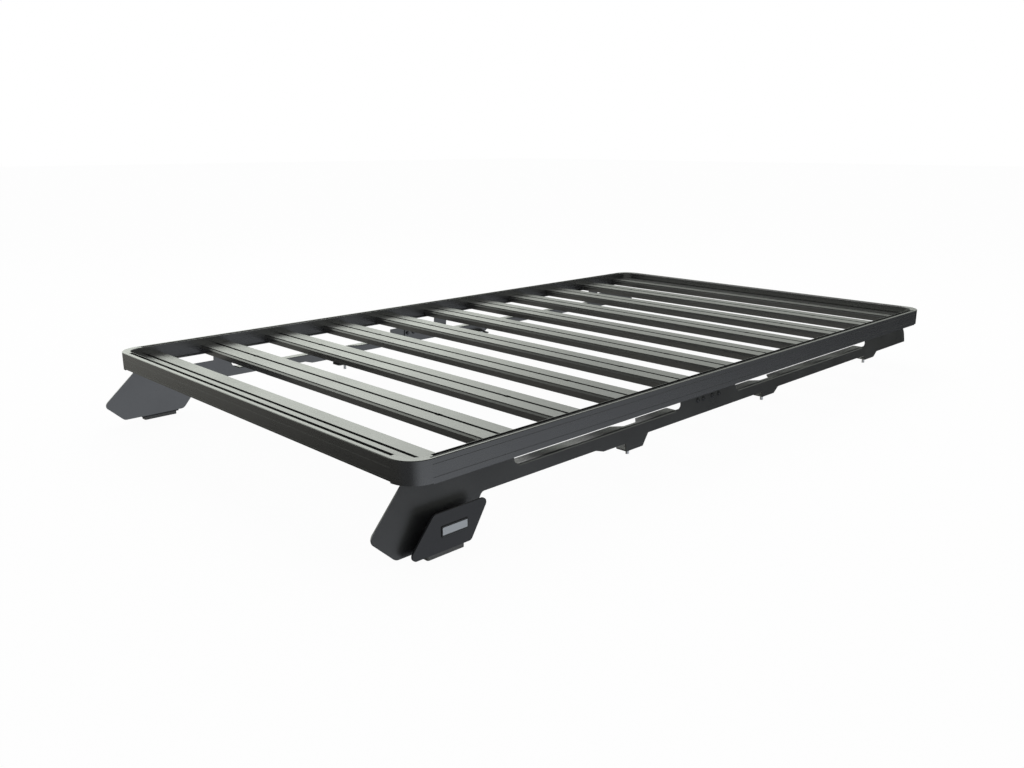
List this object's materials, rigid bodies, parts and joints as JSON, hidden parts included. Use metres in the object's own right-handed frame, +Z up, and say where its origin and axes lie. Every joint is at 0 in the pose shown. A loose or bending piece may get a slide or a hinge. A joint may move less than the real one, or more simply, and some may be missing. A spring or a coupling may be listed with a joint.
{
  "type": "flat platform roof rack",
  "caption": "Flat rectangular roof rack with a rounded extruded rim and slotted cross slats, carried on folded side foot rails with front clamp legs and bolted feet",
  "frame": {"origin": "middle of the rack's length and width, level with the underside of the front pads", "axes": "+X is the rack's right side, +Y runs from the front end with the legs to the rear, +Z is up"},
  "size_m": [1.255, 2.2262, 0.198],
  "materials": {
    "slat_coat": "satin black powder coat on extruded aluminium",
    "rail_coat": "satin black powder coat on extruded and cast aluminium",
    "foot_coat": "satin black powder coat on folded steel plate",
    "zinc_steel": "bright zinc-plated steel",
    "pad_rubber": "matt black rubber"
  },
  "bodies": {
    "root": {"slat_01": "slat_coat", "slat_02": "slat_coat", "slat_03": "slat_coat", "slat_04": "slat_coat", "slat_05": "slat_coat", "slat_06": "slat_coat", "slat_07": "slat_coat", "slat_08": "slat_coat", "slat_09": "slat_coat", "slat_10": "slat_coat", "slat_11": "slat_coat", "front_rail": "rail_coat", "rear_rail": "rail_coat", "side_rail_left": "rail_coat", "side_rail_right": "rail_coat", "front_corner_left": "rail_coat", "front_corner_right": "rail_coat", "rear_corner_left": "rail_coat", "rear_corner_right": "rail_coat", "foot_rail_front_left": "foot_coat", "foot_rail_front_right": "foot_coat", "foot_rail_rear_left": "foot_coat", "foot_rail_rear_right": "foot_coat", "splice_plate_left": "foot_coat", "splice_plate_right": "foot_coat", "clamp_plate_left": "foot_coat", "clamp_plate_right": "foot_coat", "clamp_spacers_left": "zinc_steel", "clamp_spacers_right": "zinc_steel", "foot_pad_left": "pad_rubber", "foot_pad_right": "pad_rubber", "front_foot_bolt_left": "zinc_steel", "front_foot_bolt_right": "zinc_steel", "middle_foot_bolt_left": "zinc_steel", "middle_foot_bolt_right": "zinc_steel", "rear_foot_bolt_left": "zinc_steel", "rear_foot_bolt_right": "zinc_steel"}
  },
  "joints": []
}
